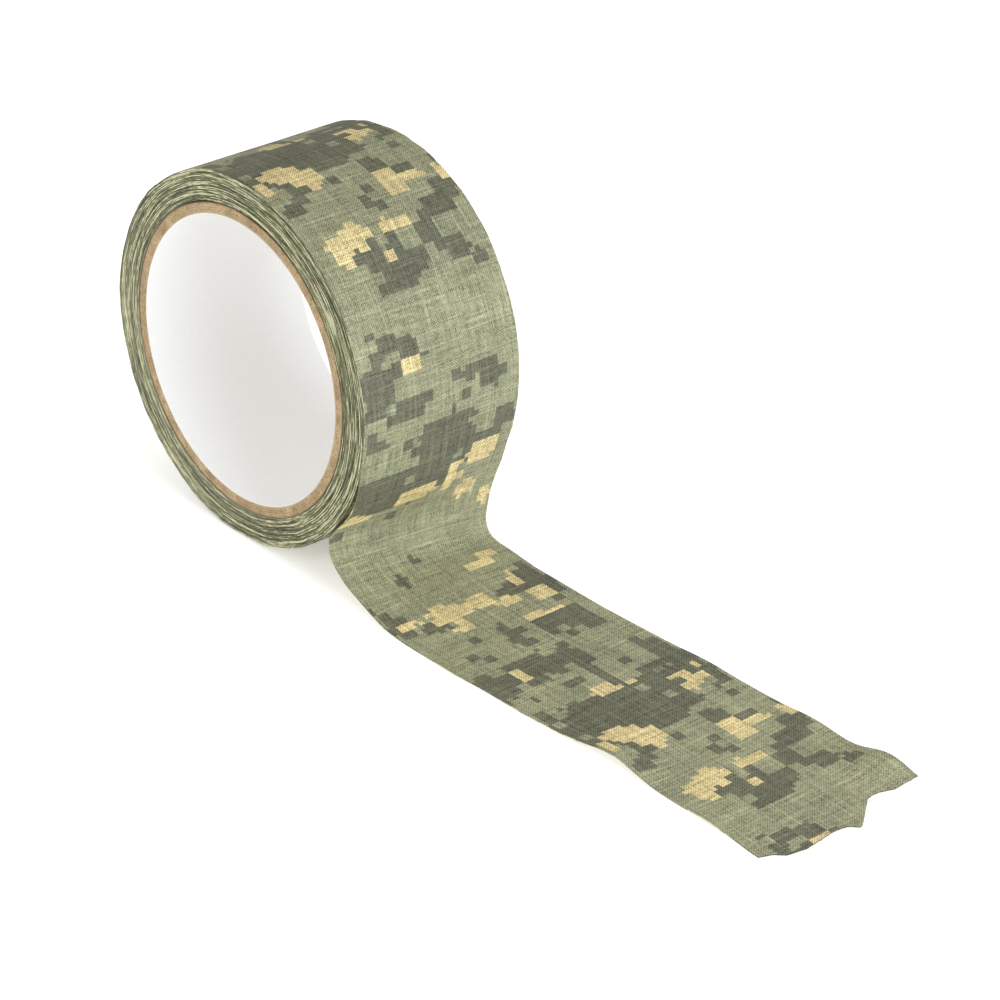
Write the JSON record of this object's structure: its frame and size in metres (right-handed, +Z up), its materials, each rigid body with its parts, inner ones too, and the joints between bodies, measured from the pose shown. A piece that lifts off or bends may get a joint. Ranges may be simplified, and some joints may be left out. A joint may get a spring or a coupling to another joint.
{
  "type": "duct tape roll",
  "caption": "Part-used roll of camouflage-printed cloth tape on a paperboard core, with a loose torn end that peels off and lies on the surface.",
  "frame": {"origin": "middle of the core's bore, half way along the roll's width", "axes": "+Y along the bore, away from the viewer; +Z up; +X the way the loose end runs along the floor"},
  "size_m": [0.2459, 0.05, 0.0987],
  "materials": {
    "liner_paper": "smooth white paper",
    "kraft_board": "brown kraft board with flecks on the cut edge",
    "printed_cloth": "plain-woven cloth, printed with a blocky camouflage in sage green, dark grey-green and tan",
    "adhesive": "tacky off-white adhesive"
  },
  "bodies": {
    "roll": {"core_liner_ply": "liner_paper", "core_kraft_ply_1": "kraft_board", "core_kraft_ply_2": "kraft_board", "core_kraft_ply_3": "kraft_board", "core_kraft_ply_4": "kraft_board", "wound_tape_cloth": "printed_cloth", "wound_tape_adhesive": "adhesive", "outer_turn_cloth": "printed_cloth", "outer_turn_adhesive": "adhesive"},
    "tail_bend": {"tail_bend_cloth": "printed_cloth", "tail_bend_adhesive": "adhesive"},
    "tail_run": {"tail_run_cloth": "printed_cloth", "tail_run_adhesive": "adhesive"},
    "tail_tip": {"tail_tip_cloth": "printed_cloth", "tail_tip_adhesive": "adhesive"}
  },
  "joints": [
    {"name": "peel_turn", "type": "hinge", "parent": "roll", "child": "tail_bend", "pos_m": [0, 0, 0], "axis": [0, -1, 0], "continuous": true},
    {"name": "tail_lift", "type": "hinge", "parent": "tail_bend", "child": "tail_run", "pos_m": [0.07243, 0, -0.0492], "axis": [0, -1, 0], "range_deg": [-30, 75]},
    {"name": "tail_curl", "type": "hinge", "parent": "tail_run", "child": "tail_tip", "pos_m": [0.13043, 0, -0.0492], "axis": [0, -1, 0], "range_deg": [-60, 60]}
  ]
}
